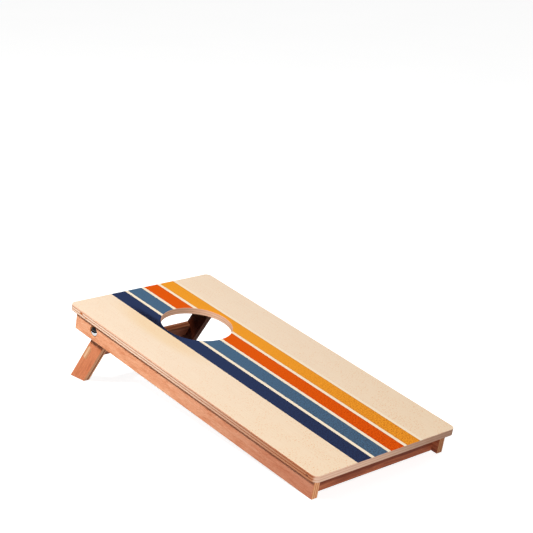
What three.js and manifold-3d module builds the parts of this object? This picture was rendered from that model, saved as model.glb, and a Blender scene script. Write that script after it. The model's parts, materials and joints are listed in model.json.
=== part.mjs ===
// A compact cornhole board standing ready to play: a printed plywood deck on a plywood frame, with two legs
// that fold flat under the deck. Millimetres, +Z up, floor at z = 0.
//
// Board frame, before it is tilted: x across the board, y from the low end (0) to the high end, z up out of
// the deck's top face (0). Leg frame: origin on the pivot axis, z up along the leg, y towards its rear edge.
// "across" below is a distance in from the deck's long edge, so it serves both sides of the board.

import * as THREE from "three";
import { mergeVertices } from "three/addons/utils/BufferGeometryUtils.js";
import Module from "manifold-3d";

const wasm = await Module();
wasm.setup();

// ---- driving dimensions -------------------------------------------------------------------------------
const DECK_LENGTH = 600;
const DECK_WIDTH = 300;
const DECK_THICKNESS = 11;
const DECK_CORNER_RADIUS = 10;
const HOLE_RADIUS = 60;
const HOLE_FROM_HIGH_END = 152;

const PLY = 12; // rails, blocks, legs and spreader are cut from the same sheet
const FRAME_DEPTH = 45; // deck's top face to the rails' lower edge
const RAIL_INSET = 10; // from the deck's long edge
const RAIL_END_INSET = 9; // from the deck's ends
const CROSS_RAIL_SETBACK = 20.5; // from the deck's ends to the cross rails' outer faces
const HIGH_END_HEIGHT = 150; // floor to the top of the deck's high end

const PIVOT_FROM_HIGH_END = 58.5;
const PIVOT_BELOW_DECK = 18;
const LEG_WIDTH = 31.5;
const SPREADER_FROM_PIVOT = 63; // pivot axis to the spreader's upper edge, along the leg
const SPREADER_WIDTH = 29;
const NOTCH_CORNER_RADIUS = 3;

const BLOCK_LENGTH = 44;
const BLOCK_HEIGHT = 30;
const WASHER_THICKNESS = 1;
const WASHER_RADIUS = 9;
const SLEEVE_RADIUS = 4;
const SLEEVE_HEAD_RADIUS = 8;
const SLEEVE_HEAD_RISE = 1.8; // dome above the rail's face
const COUNTERBORE_DEPTH = 2;
const COUNTERBORE_RADIUS = 8.8;
const COUNTERBORE_CHAMFER = 1;
const BOLT_RADIUS = 3;
const BOLT_HEAD_RADIUS = 7.5;
const BOLT_HEAD_HEIGHT = 2.5;
const BOLT_HEAD_CHAMFER = { depth: 1, width: 1.5 };
const BOLT_SHANK = 24;

const DOWEL_RADIUS = 3;
const DOWEL_IN_SIDE_RAIL = 8;
const DOWEL_IN_CROSS_RAIL = 16;
const DOWEL_DEPTHS = [20, 36]; // below the deck's top face

const DECK_SCREW_ROWS = [60, 240, 420]; // along each side rail, from the deck's low end
const DECK_SCREW_OFFSET = 90; // from the centre line, on each cross rail
const DECK_SCREW_SEAT = 20; // length of rail that the screw clamps
const DECK_SCREW_BITE = 8; // depth of thread in the deck
const SPREADER_SCREW_OFFSETS = [-8, 8]; // about the spreader's middle
const SPREADER_SCREW_BITE = 11;
const SCREW_RADIUS = 1.75;
const SCREW_HEAD_RADIUS = 3.4;
const SCREW_HEAD_HEIGHT = 2.4;
const SCREW_HEAD_RIM = 0.3; // straight rim above the head's cone
const SCREW_TIP = 3;

const GAP = 0.3; // glue line or clearance between pieces that touch
const RUNNING_CLEARANCE = 0.2; // leg on its sleeve, on the radius
const ROUND_SEGMENTS = 24;
const SMALL_SEGMENTS = 12; // screws and dowels
const HOLE_SEGMENTS = 96;
const CORNER_SEGMENTS = 8;
const DOME_STEPS = 6;
const OVERSHOOT = 1; // how far a cutting solid reaches past what it cuts

// ---- derived dimensions -------------------------------------------------------------------------------
const SIDES = { left: -1, right: 1 };
const railInner = RAIL_INSET + PLY;
const blockInner = railInner + GAP + PLY;
const legOuter = blockInner + GAP + WASHER_THICKNESS + GAP;
const legInner = legOuter + PLY;
const pivotY = DECK_LENGTH - PIVOT_FROM_HIGH_END;
const pivotZ = -DECK_THICKNESS - PIVOT_BELOW_DECK;
const railTop = -DECK_THICKNESS - GAP;

// The deck's top and the rails' lower corner fix the tilt: (length - inset) sin t + depth cos t = height.
const liftedLength = DECK_LENGTH - RAIL_END_INSET;
const tilt =
  Math.asin(HIGH_END_HEIGHT / Math.hypot(liftedLength, FRAME_DEPTH)) - Math.atan2(FRAME_DEPTH, liftedLength);

// The open leg's rear edge leans on the high cross rail's lower inner corner, which fixes its splay.
const stopY = DECK_LENGTH - CROSS_RAIL_SETBACK - PLY - pivotY;
const stopDrop = pivotZ + FRAME_DEPTH;
const splay = Math.acos((LEG_WIDTH / 2 + GAP) / Math.hypot(stopY, stopDrop)) - Math.atan2(stopDrop, stopY);

// Height of a board-frame point (y, z) above the floor.
const floorLift = FRAME_DEPTH * Math.cos(tilt) - RAIL_END_INSET * Math.sin(tilt);
const heightOf = (y, z) => y * Math.sin(tilt) + z * Math.cos(tilt) + floorLift;

// Leg-frame z at which an edge of the leg, y across it, meets the floor.
const footAt = (y) =>
  -(heightOf(pivotY, pivotZ) + y * Math.sin(tilt + splay)) / Math.cos(tilt + splay);

// ---- solids -------------------------------------------------------------------------------------------
function toSolid(geometry) {
  const bare = geometry.index ? geometry.toNonIndexed() : geometry.clone();
  bare.deleteAttribute("normal");
  bare.deleteAttribute("uv");
  const merged = mergeVertices(bare, 1e-4);
  const triangles = [];
  for (let i = 0; i < merged.index.count; i += 3) {
    const [a, b, c] = merged.index.array.slice(i, i + 3);
    if (a !== b && b !== c && c !== a) triangles.push(a, b, c);
  }
  const build = (triVerts) =>
    new wasm.Manifold(
      new wasm.Mesh({
        numProp: 3,
        vertProperties: merged.attributes.position.array,
        triVerts: new Uint32Array(triVerts),
      }),
    );
  const solid = build(triangles);
  return solid.volume() > 0 ? solid : build(triangles.reverse());
}

function toGeometry(solid) {
  const { vertProperties, triVerts } = solid.getMesh();
  const geometry = new THREE.BufferGeometry();
  geometry.setAttribute("position", new THREE.BufferAttribute(vertProperties, 3));
  geometry.setIndex(new THREE.BufferAttribute(triVerts, 1));
  const flat = geometry.toNonIndexed();
  flat.computeVertexNormals();
  return flat;
}

function box(x0, x1, y0, y1, z0, z1) {
  const geometry = new THREE.BoxGeometry(Math.abs(x1 - x0), y1 - y0, z1 - z0);
  return toSolid(geometry.translate((x0 + x1) / 2, (y0 + y1) / 2, (z0 + z1) / 2));
}

// A shape drawn in (y, z), extruded between two x values.
function extrudeAlongX(shape, x0, x1) {
  const low = Math.min(x0, x1);
  const geometry = new THREE.ExtrudeGeometry(shape, {
    depth: Math.abs(x1 - x0),
    bevelEnabled: false,
    curveSegments: CORNER_SEGMENTS,
  });
  const basis = new THREE.Matrix4().makeBasis(
    new THREE.Vector3(0, 1, 0),
    new THREE.Vector3(0, 0, 1),
    new THREE.Vector3(1, 0, 0),
  );
  return toSolid(geometry.applyMatrix4(basis).translate(low, 0, 0));
}

// A turned shape: profile points are [distance along the axis, radius], and the axis is x, y or z.
function turned(profile, axis, segments = ROUND_SEGMENTS) {
  const points = profile.map(([along, radius]) => new THREE.Vector2(radius, along));
  const geometry = new THREE.LatheGeometry(points, segments);
  if (axis === "x") geometry.rotateZ(-Math.PI / 2);
  if (axis === "z") geometry.rotateX(Math.PI / 2);
  return toSolid(geometry);
}

const rod = (from, to, radius, axis, segments) =>
  turned([[from, 0], [from, radius], [to, radius], [to, 0]], axis, segments);

// A countersunk screw on the z axis: head's face at z = 0, point at z = -length.
function countersunkScrew(length) {
  return turned(
    [
      [-length, 0],
      [-length + SCREW_TIP, SCREW_RADIUS],
      [-SCREW_HEAD_HEIGHT, SCREW_RADIUS],
      [-SCREW_HEAD_RIM, SCREW_HEAD_RADIUS],
      [0, SCREW_HEAD_RADIUS],
      [0, 0],
    ],
    "z",
    SMALL_SEGMENTS,
  );
}

// The hole that such a screw sits in, open for a depth of counterbore above its head.
function screwHole(length, counterbore) {
  const head = SCREW_HEAD_RADIUS + GAP;
  const shank = SCREW_RADIUS + GAP;
  return turned(
    [
      [-length - GAP, 0],
      [-length - GAP, shank],
      [-SCREW_HEAD_HEIGHT - GAP, shank],
      [-SCREW_HEAD_RIM - GAP, head],
      [counterbore, head],
      [counterbore, 0],
    ],
    "z",
    SMALL_SEGMENTS,
  );
}

const atAcross = (side, across) => SIDES[side] * (DECK_WIDTH / 2 - across);

// ---- materials ----------------------------------------------------------------------------------------
const finish = (color, roughness, metalness = 0) => new THREE.MeshStandardMaterial({ color, roughness, metalness });
const printedFace = () => finish(0xefd8b9, 0.55);
const stainedPly = () => finish(0xd98b5c, 0.55);
const darkPly = () => finish(0xa56b4b, 0.6);
const beech = () => finish(0xd9b98c, 0.7);
const chrome = () => finish(0xc8cacc, 0.12, 1);
const zinc = () => finish(0xb4b6b8, 0.35, 1);
const nylon = () => finish(0xe6e4dc, 0.5);

function part(name, solid, material) {
  const mesh = new THREE.Mesh(toGeometry(solid), material);
  mesh.name = name;
  return mesh;
}

// ---- deck ---------------------------------------------------------------------------------------------
function deckOutline() {
  const halfWidth = DECK_WIDTH / 2;
  const r = DECK_CORNER_RADIUS;
  const shape = new THREE.Shape();
  shape.absarc(halfWidth - r, r, r, -Math.PI / 2, 0);
  shape.absarc(halfWidth - r, DECK_LENGTH - r, r, 0, Math.PI / 2);
  shape.absarc(-halfWidth + r, DECK_LENGTH - r, r, Math.PI / 2, Math.PI);
  shape.absarc(-halfWidth + r, r, r, Math.PI, 1.5 * Math.PI);
  return shape;
}

function deckScrewPlaces() {
  const places = [];
  for (const side of Object.keys(SIDES))
    DECK_SCREW_ROWS.forEach((y, i) =>
      places.push({ name: `deck_screw_${side}_${i + 1}`, x: atAcross(side, RAIL_INSET + PLY / 2), y }),
    );
  const crossMiddle = CROSS_RAIL_SETBACK + PLY / 2;
  for (const [end, y] of [["low", crossMiddle], ["high", DECK_LENGTH - crossMiddle]])
    for (const side of Object.keys(SIDES))
      places.push({ name: `deck_screw_${end}_${side}`, x: SIDES[side] * DECK_SCREW_OFFSET, y });
  return places;
}

const deckScrewLength = DECK_SCREW_SEAT + DECK_SCREW_BITE;
const deckScrewHead = railTop - DECK_SCREW_SEAT;

// Screws come up from below, so they and their holes are turned over.
const placedFromBelow = (solid, { x, y }) => solid.rotate([180, 0, 0]).translate([x, y, deckScrewHead]);

const deckScrewHoles = deckScrewPlaces().map((place) =>
  placedFromBelow(screwHole(deckScrewLength, FRAME_DEPTH), place),
);

const drilled = (solid, holes) => holes.reduce((rest, hole) => rest.subtract(hole), solid);

function deckPanel() {
  const sheet = new THREE.ExtrudeGeometry(deckOutline(), {
    depth: DECK_THICKNESS,
    bevelEnabled: false,
    curveSegments: CORNER_SEGMENTS,
  });
  const bagHole = rod(-DECK_THICKNESS - OVERSHOOT, OVERSHOOT, HOLE_RADIUS, "z", HOLE_SEGMENTS);
  const cut = toSolid(sheet.translate(0, 0, -DECK_THICKNESS)).subtract(
    bagHole.translate([0, DECK_LENGTH - HOLE_FROM_HIGH_END, 0]),
  );
  return part("deck_panel", drilled(cut, deckScrewHoles), printedFace());
}

// ---- frame --------------------------------------------------------------------------------------------
const crossRailFronts = { low: CROSS_RAIL_SETBACK, high: DECK_LENGTH - CROSS_RAIL_SETBACK - PLY };

function dowels() {
  const list = [];
  for (const [end, front] of Object.entries(crossRailFronts))
    for (const side of Object.keys(SIDES))
      DOWEL_DEPTHS.forEach((depth, i) => {
        const place = [0, front + PLY / 2, -depth];
        const outer = railInner - DOWEL_IN_SIDE_RAIL;
        const inner = railInner + DOWEL_IN_CROSS_RAIL;
        const along = (grow) => [atAcross(side, outer - grow), atAcross(side, inner + grow)].sort((a, b) => a - b);
        list.push({
          name: `frame_dowel_${end}_${side}_${i + 1}`,
          peg: rod(...along(0), DOWEL_RADIUS, "x", SMALL_SEGMENTS).translate(place),
          hole: rod(...along(GAP), DOWEL_RADIUS + GAP, "x", SMALL_SEGMENTS).translate(place),
        });
      });
  return list;
}

const frameDowels = dowels();
const frameHoles = [...frameDowels.map(({ hole }) => hole), ...deckScrewHoles];

// The pivot's way through rail and block, with a chamfered counterbore for the sleeve's head.
function pivotBore(side) {
  const mouth = COUNTERBORE_RADIUS + COUNTERBORE_CHAMFER;
  const bore = SLEEVE_RADIUS + GAP;
  const profile = [
    [RAIL_INSET - OVERSHOOT, 0],
    [RAIL_INSET - OVERSHOOT, mouth + OVERSHOOT],
    [RAIL_INSET + COUNTERBORE_CHAMFER, COUNTERBORE_RADIUS],
    [RAIL_INSET + COUNTERBORE_DEPTH, COUNTERBORE_RADIUS],
    [RAIL_INSET + COUNTERBORE_DEPTH, bore],
    [blockInner + OVERSHOOT, bore],
    [blockInner + OVERSHOOT, 0],
  ];
  return turned(
    profile.map(([across, radius]) => [atAcross(side, across), radius]),
    "x",
  ).translate([0, pivotY, pivotZ]);
}

function sideRail(side) {
  const blank = box(
    atAcross(side, RAIL_INSET),
    atAcross(side, railInner),
    RAIL_END_INSET,
    DECK_LENGTH - RAIL_END_INSET,
    -FRAME_DEPTH,
    railTop,
  );
  return part(`side_rail_${side}`, drilled(blank, [...frameHoles, pivotBore(side)]), stainedPly());
}

function crossRail(end) {
  const halfLength = DECK_WIDTH / 2 - railInner - GAP;
  const front = crossRailFronts[end];
  const blank = box(-halfLength, halfLength, front, front + PLY, -FRAME_DEPTH, railTop);
  return part(`cross_rail_${end}`, drilled(blank, frameHoles), darkPly());
}

function pivotBlock(side) {
  const blank = box(
    atAcross(side, railInner + GAP),
    atAcross(side, blockInner),
    pivotY - BLOCK_LENGTH / 2,
    pivotY + BLOCK_LENGTH / 2,
    railTop - BLOCK_HEIGHT,
    railTop,
  );
  return part(`pivot_block_${side}`, blank.subtract(pivotBore(side)), darkPly());
}

// ---- pivot hardware -----------------------------------------------------------------------------------
const alongPivot = (side, profile) =>
  turned(profile.map(([across, radius]) => [atAcross(side, across), radius]), "x").translate([0, pivotY, pivotZ]);

const sleeveEnd = legInner - GAP;
const boltHeadOuter = legInner + GAP + WASHER_THICKNESS + GAP;

function pivotSleeve(side) {
  const seat = RAIL_INSET + COUNTERBORE_DEPTH - GAP;
  const domeBase = RAIL_INSET;
  const dome = [];
  for (let i = 0; i <= DOME_STEPS; i++) {
    const angle = (i / DOME_STEPS) * (Math.PI / 2);
    dome.push([domeBase - SLEEVE_HEAD_RISE * Math.cos(angle), SLEEVE_HEAD_RADIUS * Math.sin(angle)]);
  }
  const bore = BOLT_RADIUS + GAP;
  const boreDepth = boltHeadOuter - BOLT_SHANK - GAP;
  return part(
    `pivot_sleeve_${side}`,
    alongPivot(side, [
      ...dome,
      [seat, SLEEVE_HEAD_RADIUS],
      [seat, SLEEVE_RADIUS],
      [sleeveEnd, SLEEVE_RADIUS],
      [sleeveEnd, bore],
      [boreDepth, bore],
      [boreDepth, 0],
    ]),
    chrome(),
  );
}

function pivotBolt(side) {
  const top = boltHeadOuter + BOLT_HEAD_HEIGHT;
  return part(
    `pivot_bolt_${side}`,
    alongPivot(side, [
      [boltHeadOuter - BOLT_SHANK, 0],
      [boltHeadOuter - BOLT_SHANK, BOLT_RADIUS],
      [boltHeadOuter, BOLT_RADIUS],
      [boltHeadOuter, BOLT_HEAD_RADIUS],
      [top - BOLT_HEAD_CHAMFER.depth, BOLT_HEAD_RADIUS],
      [top, BOLT_HEAD_RADIUS - BOLT_HEAD_CHAMFER.width],
      [top, 0],
    ]),
    zinc(),
  );
}

function pivotWasher(side, place, outerFace, bore, material) {
  const solid = alongPivot(side, [
    [outerFace, bore],
    [outerFace, WASHER_RADIUS],
    [outerFace + WASHER_THICKNESS, WASHER_RADIUS],
    [outerFace + WASHER_THICKNESS, bore],
    [outerFace, bore],
  ]);
  return part(`pivot_washer_${place}_${side}`, solid, material);
}

// ---- legs, in the leg frame ---------------------------------------------------------------------------
const spreaderTop = -SPREADER_FROM_PIVOT;
const spreaderBottom = spreaderTop - SPREADER_WIDTH;
const rearEdge = LEG_WIDTH / 2;
const notchFloor = rearEdge - PLY;

// The spreader's end as the leg's notch takes it: square at the rear edge, round at the two inner corners.
function spreaderSection(grow, rear) {
  const r = NOTCH_CORNER_RADIUS + grow;
  const [front, low, high] = [notchFloor - grow, spreaderBottom - grow, spreaderTop + grow];
  const shape = new THREE.Shape();
  shape.moveTo(rear, low);
  shape.lineTo(rear, high);
  shape.absarc(front + r, high - r, r, Math.PI / 2, Math.PI);
  shape.absarc(front + r, low + r, r, Math.PI, 1.5 * Math.PI);
  return shape;
}

const spreaderScrewLength = PLY + SPREADER_SCREW_BITE;

function spreaderScrewPlaces(side) {
  const x = atAcross(side, (legOuter + legInner) / 2);
  return SPREADER_SCREW_OFFSETS.map((offset) => [x, rearEdge - GAP, (spreaderTop + spreaderBottom) / 2 + offset]);
}

// Driven from the rear edge towards the front, so the screw's z axis is laid along +y.
const drivenFromRear = (solid, place) => solid.rotate([-90, 0, 0]).translate(place);

const spreaderScrewHoles = Object.keys(SIDES).flatMap((side) =>
  spreaderScrewPlaces(side).map((place) => drivenFromRear(screwHole(spreaderScrewLength, 2 * OVERSHOOT), place)),
);

function leg(side) {
  const outline = new THREE.Shape();
  outline.moveTo(-rearEdge, footAt(-rearEdge));
  outline.lineTo(rearEdge, footAt(rearEdge));
  outline.absarc(0, 0, rearEdge, 0, Math.PI);
  const faces = [atAcross(side, legOuter), atAcross(side, legInner)];
  const [low, high] = [Math.min(...faces), Math.max(...faces)];
  const pivotHole = rod(
    low - OVERSHOOT,
    high + OVERSHOOT,
    SLEEVE_RADIUS + RUNNING_CLEARANCE,
    "x",
    2 * ROUND_SEGMENTS,
  );
  const notch = extrudeAlongX(spreaderSection(GAP, rearEdge + OVERSHOOT), low - OVERSHOOT, high + OVERSHOOT);
  const cut = extrudeAlongX(outline, low, high).subtract(pivotHole).subtract(notch);
  return part(`leg_${side}`, drilled(cut, spreaderScrewHoles), stainedPly());
}

function legSpreader() {
  const halfLength = DECK_WIDTH / 2 - legOuter;
  const bar = extrudeAlongX(spreaderSection(0, rearEdge), -halfLength, halfLength);
  return part("leg_spreader", drilled(bar, spreaderScrewHoles), darkPly());
}

// ---- assembly -----------------------------------------------------------------------------------------
const board = new THREE.Group();
board.add(deckPanel(), crossRail("low"), crossRail("high"));
for (const { name, peg } of frameDowels) board.add(part(name, peg, beech()));
for (const place of deckScrewPlaces())
  board.add(part(place.name, placedFromBelow(countersunkScrew(deckScrewLength), place), zinc()));

const legFrame = new THREE.Group();
legFrame.position.set(0, pivotY, pivotZ);
legFrame.rotation.x = splay;
legFrame.add(legSpreader());

for (const side of Object.keys(SIDES)) {
  board.add(sideRail(side), pivotBlock(side), pivotSleeve(side), pivotBolt(side));
  board.add(pivotWasher(side, "outer", blockInner + GAP, SLEEVE_RADIUS + GAP, nylon()));
  board.add(pivotWasher(side, "inner", legInner + GAP, BOLT_RADIUS + GAP, zinc()));
  legFrame.add(leg(side));
  spreaderScrewPlaces(side).forEach((place, i) =>
    legFrame.add(
      part(`spreader_screw_${side}_${i + 1}`, drivenFromRear(countersunkScrew(spreaderScrewLength), place), zinc()),
    ),
  );
}
board.add(legFrame);

// The deck's low edge and the feet's rear corners are the ends of the footprint, which is centred on y = 0.
const footRearY =
  pivotY * Math.cos(tilt) - pivotZ * Math.sin(tilt) +
  rearEdge * Math.cos(tilt + splay) - footAt(rearEdge) * Math.sin(tilt + splay);
board.rotation.x = tilt;
board.position.set(0, -footRearY / 2, floorLift);

const cornholeBoard = new THREE.Group();
cornholeBoard.add(board);

export default cornholeBoard;
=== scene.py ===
import json
import math

import bmesh
import bpy
from mathutils import Matrix, Vector


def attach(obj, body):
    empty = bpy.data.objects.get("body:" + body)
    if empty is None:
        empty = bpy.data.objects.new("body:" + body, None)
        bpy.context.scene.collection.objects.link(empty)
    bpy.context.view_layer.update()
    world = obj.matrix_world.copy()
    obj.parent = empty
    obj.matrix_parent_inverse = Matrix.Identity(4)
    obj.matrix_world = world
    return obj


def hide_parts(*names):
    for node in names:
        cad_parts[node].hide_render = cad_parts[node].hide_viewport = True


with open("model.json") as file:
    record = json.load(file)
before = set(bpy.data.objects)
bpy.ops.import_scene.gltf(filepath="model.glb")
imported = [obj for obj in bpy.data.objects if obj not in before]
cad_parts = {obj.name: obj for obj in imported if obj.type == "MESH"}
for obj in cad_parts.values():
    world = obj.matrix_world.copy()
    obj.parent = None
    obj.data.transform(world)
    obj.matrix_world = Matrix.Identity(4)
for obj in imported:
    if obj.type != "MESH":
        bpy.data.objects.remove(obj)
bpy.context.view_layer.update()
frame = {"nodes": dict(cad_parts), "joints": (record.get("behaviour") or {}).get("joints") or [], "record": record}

# The finished look of a compact cornhole board: a printed plywood deck on a stained plywood
# frame, with two folding legs. Metres. Wooden pieces are made in two sets of axes of their own:
#   board axes: x across, y from the deck's low end to its high end, z up out of the deck's top face
#   leg axes:   origin on the pivot, y towards the leg's rear edge, z up along the leg

MM = 0.001

# ---- driving dimensions ----
DECK_CORNER_RADIUS = 10 * MM
BAG_HOLE_RADIUS = 60 * MM
BAG_HOLE_FROM_HIGH_END = 152 * MM
NOTCH_CORNER_RADIUS = 3 * MM

DECK_EASING = 0.5 * MM
RAIL_EASING = 0.7 * MM
LEG_EASING = 0.9 * MM
FRAME_EASING = 0.6 * MM
HOLE_EASING = 0.6 * MM

FIT = 0.25 * MM  # clearance of a hole round what it holds, on the radius
COUNTERBORE_DEPTH = 2 * MM
COUNTERBORE_RADIUS = 8.8 * MM
COUNTERBORE_CHAMFER = 1 * MM
SLEEVE_RADIUS = 4 * MM
SLEEVE_BORE = 3.3 * MM
SLEEVE_HEAD_DEPTH = 1.7 * MM  # from the rail's face down to the head's seat
SLEEVE_HEAD_RISE = 1.8 * MM  # dome above the rail's face
SLEEVE_DOME_START = 1.3 * MM  # where the dome starts, in from the rail's face
SLEEVE_CHAMFER = 0.3 * MM
WASHER_CHAMFER = 0.25 * MM
BOLT_RADIUS = 3 * MM
BOLT_TIP_CHAMFER = 0.4 * MM
BOLT_THREAD_STOP = 0.5 * MM  # from the head's seat
BOLT_COLLAR = 0.4 * MM  # plain shank under the head
BOLT_HEAD_HEIGHT = 2.5 * MM
BOLT_HEAD_CHAMFER = 0.2 * MM
BOLT_CROWN_START = 0.35  # as a share of the head's height
BOLT_CROWN_TOP = 3.2 * MM  # radius where the crown ends
BOLT_SOCKET_WIDTH = 4 * MM  # across flats
BOLT_SOCKET_DEPTH = 1.6 * MM
BOLT_PITCH = 1 * MM
BOLT_THREAD_DEPTH = 0.55 * MM
SCREW_ROOT_RADIUS = 1.2 * MM
SCREW_THREAD_DEPTH = 0.55 * MM
SCREW_PITCH = 1.6 * MM
SCREW_HEAD_RADIUS = 3.4 * MM
SCREW_HEAD_HEIGHT = 2.4 * MM
SCREW_HEAD_RIM = 0.3 * MM
SCREW_HEAD_FLARE = 0.2 * MM  # wider than the root, where the head meets the shank
SCREW_TIP = 3 * MM
SCREW_TIP_RADIUS = 0.15 * MM
SCREW_NECK = 4 * MM  # plain shank under the head
RECESS_WIDTH = 0.9 * MM
RECESS_SPAN = 3.6 * MM
RECESS_DEPTH = 1.5 * MM
RECESS_TAPER = 0.62  # width at the bottom, as a share of the mouth's
THREAD_LEVELS = 8  # profile points to a pitch
DOWEL_CHAMFER = 0.8 * MM
DOWEL_FLUTES = 14
DOWEL_FLUTE_DEPTH = 0.18 * MM

STRIPES_START = 84.4 * MM  # from the deck's left edge, with the high end away from you
STRIPE_WIDTH = 28.9 * MM
STRIPE_PITCH = 35 * MM
STRIPE_COUNT = 4

SHARP = math.radians(35)
OVERSHOOT = 1 * MM
SQUARE_ON = 0.93  # a normal at least this far along an axis faces that way

# ---- places read from the frame ----
SIDES = {"left": -1, "right": 1}
mounts = {mount["name"]: mount for mount in frame["record"]["mounts"]}
fold = frame["joints"][0]
deck_up = Vector(mounts["deck_top"]["axis"])
tilt = math.atan2(-deck_up.y, deck_up.z)
# folded flat, a leg has turned a right angle and its splay
splay = math.radians(fold["range_deg"][1] - 90)


def span(node, place):
    """Lowest and highest corner of a CAD node, in the axes of a place."""
    into = place.inverted()
    points = [into @ vertex.co for vertex in frame["nodes"][node].data.vertices]
    low = Vector([min(point[i] for point in points) for i in range(3)])
    high = Vector([max(point[i] for point in points) for i in range(3)])
    return low, high


tilted = Matrix.Rotation(tilt, 4, "X")
tilted_low, tilted_high = span("deck_panel", tilted)
board = tilted @ Matrix.Translation((0, tilted_low.y, tilted_high.z))
leg_frame = Matrix.Translation(fold["pos_m"]) @ Matrix.Rotation(tilt + splay, 4, "X")
pivot = board.inverted() @ Vector(fold["pos_m"])

deck_low, deck_high = span("deck_panel", board)
deck_length = deck_high.y
deck_width = deck_high.x - deck_low.x
deck_thickness = -deck_low.z
rail_low, rail_high = span("side_rail_right", board)
rail_face = rail_high.x
sheet_thickness = rail_high.x - rail_low.x
cross_low = span("cross_rail_high", board)[0]
leg_low, leg_high = span("leg_right", leg_frame)
screw_nodes = sorted(node for node in frame["nodes"] if node.startswith("deck_screw"))
leg_screw_nodes = sorted(node for node in frame["nodes"] if node.startswith("spreader_screw"))
dowel_nodes = sorted(node for node in frame["nodes"] if node.startswith("frame_dowel"))


# ---- mesh building ----
def prism(outline, axis, low, high):
    """A solid with one outline, in the other two axes, from low to high along an axis."""
    bm = bmesh.new()
    first, second = [i for i in range(3) if i != axis]
    rings = []
    for level in (low, high):
        ring = []
        for point in outline:
            place = [level] * 3
            place[first], place[second] = point
            ring.append(bm.verts.new(place))
        rings.append(ring)
    bm.faces.new(rings[0][::-1])
    bm.faces.new(rings[1])
    for i in range(len(outline)):
        bm.faces.new((rings[0][i - 1], rings[0][i], rings[1][i], rings[1][i - 1]))
    bmesh.ops.recalc_face_normals(bm, faces=bm.faces)
    return bm


def block(low, high):
    corners = [(low[0], low[1]), (high[0], low[1]), (high[0], high[1]), (low[0], high[1])]
    return prism(corners, 2, low[2], high[2])


def arc(centre, radius, start, end, steps):
    """Points on an arc, with its angles in degrees."""
    angles = [math.radians(start + (end - start) * i / steps) for i in range(steps + 1)]
    return [(centre[0] + radius * math.cos(a), centre[1] + radius * math.sin(a)) for a in angles]


def turned(profile, segments=48, relief=None):
    """A solid turned about z. The profile is (height, radius) points, and relief(height, angle) is
    added to the radius."""
    bm = bmesh.new()
    rings = []
    for height, radius in profile:
        if radius == 0:
            rings.append([bm.verts.new((0, 0, height))])
            continue
        ring = []
        for i in range(segments):
            angle = 2 * math.pi * i / segments
            here = radius + (relief(height, angle) if relief else 0)
            ring.append(bm.verts.new((here * math.cos(angle), here * math.sin(angle), height)))
        rings.append(ring)
    if profile[0][1] > 0:
        rings.append(rings[0])
    for lower, upper in zip(rings, rings[1:]):
        for i in range(segments):
            j = (i + 1) % segments
            around = ((lower, i), (lower, j), (upper, j), (upper, i))
            corners = [ring[k % len(ring)] for ring, k in around]
            bm.faces.new(tuple(dict.fromkeys(corners)))
    bmesh.ops.recalc_face_normals(bm, faces=bm.faces)
    return bm


def eased(bm, width, segments=3):
    """Takes the sharpness off every edge."""
    edges = [edge for edge in bm.edges if edge.calc_face_angle(0) > SHARP]
    bmesh.ops.bevel(bm, geom=edges, offset=width, segments=segments, profile=0.5, affect="EDGES")
    return bm


def placed(bm, matrix):
    bmesh.ops.transform(bm, matrix=matrix, verts=bm.verts)
    return bm


def linked(name, data, place=Matrix.Identity(4)):
    made = bpy.data.objects.new(name, data)
    bpy.context.scene.collection.objects.link(made)
    made.matrix_world = place
    return made


def new_object(name, bm, place=Matrix.Identity(4)):
    mesh = bpy.data.meshes.new(name)
    bm.to_mesh(mesh)
    bm.free()
    return linked(name, mesh, place)


def together(name, solids, place=Matrix.Identity(4)):
    """One object holding several separate solids."""
    joined = bmesh.new()
    for bm in solids:
        mesh = bpy.data.meshes.new(name)
        bm.to_mesh(mesh)
        bm.free()
        joined.from_mesh(mesh)
        bpy.data.meshes.remove(mesh)
    return new_object(name, joined, place)


def cut(piece, cutter):
    """Takes the cutter's solids out of a piece."""
    modifier = piece.modifiers.new("cut", "BOOLEAN")
    modifier.operation = "DIFFERENCE"
    modifier.solver = "EXACT"
    modifier.object = cutter
    evaluated = piece.evaluated_get(bpy.context.evaluated_depsgraph_get())
    result = bpy.data.meshes.new_from_object(evaluated)
    piece.modifiers.clear()
    piece.data = result
    return piece


def carved(piece, bm):
    """Takes a solid that is made only for this out of a piece."""
    cutter = new_object("cutter", bm)
    cut(piece, cutter)
    bpy.data.objects.remove(cutter)
    return piece


def shaded(piece):
    """Round stretches shade smoothly."""
    piece.data.shade_smooth()
    piece.data.set_sharp_from_angle(angle=SHARP)
    return piece


def smoothed(piece):
    """Round stretches shade smoothly, and flat faces stay flat."""
    modifier = shaded(piece).modifiers.new("flat faces", "WEIGHTED_NORMAL")
    modifier.keep_sharp = True
    modifier.weight = 100
    return piece


def coated(piece, material):
    """Shaded, in one material all over."""
    piece.data.materials.clear()
    piece.data.materials.append(material)
    return shaded(piece)


def handed_in(piece, node, body, slot):
    """The piece stands for its CAD node on that node's body, with its place in its mesh."""
    piece.data.transform(piece.matrix_world)
    piece.matrix_world = Matrix.Identity(4)
    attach(piece, body)
    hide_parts(node)
    return piece


def dressed(piece, face, edge, axis, back=None):
    """A sheet's face looks up an axis, and its back down it. All the rest wears edge."""
    for material in (face, edge, back or face):
        piece.data.materials.append(material)
    for polygon in piece.data.polygons:
        along = polygon.normal[axis]
        polygon.material_index = 0 if along > SQUARE_ON else 2 if along < -SQUARE_ON else 1
    return piece


# ---- shader wiring ----
def colour(red, green, blue):
    """An sRGB colour, 0 to 255, as Blender's linear colour."""
    def linear(value):
        share = value / 255
        return share / 12.92 if share <= 0.04045 else ((share + 0.055) / 1.055) ** 2.4
    return (linear(red), linear(green), linear(blue), 1.0)


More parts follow.
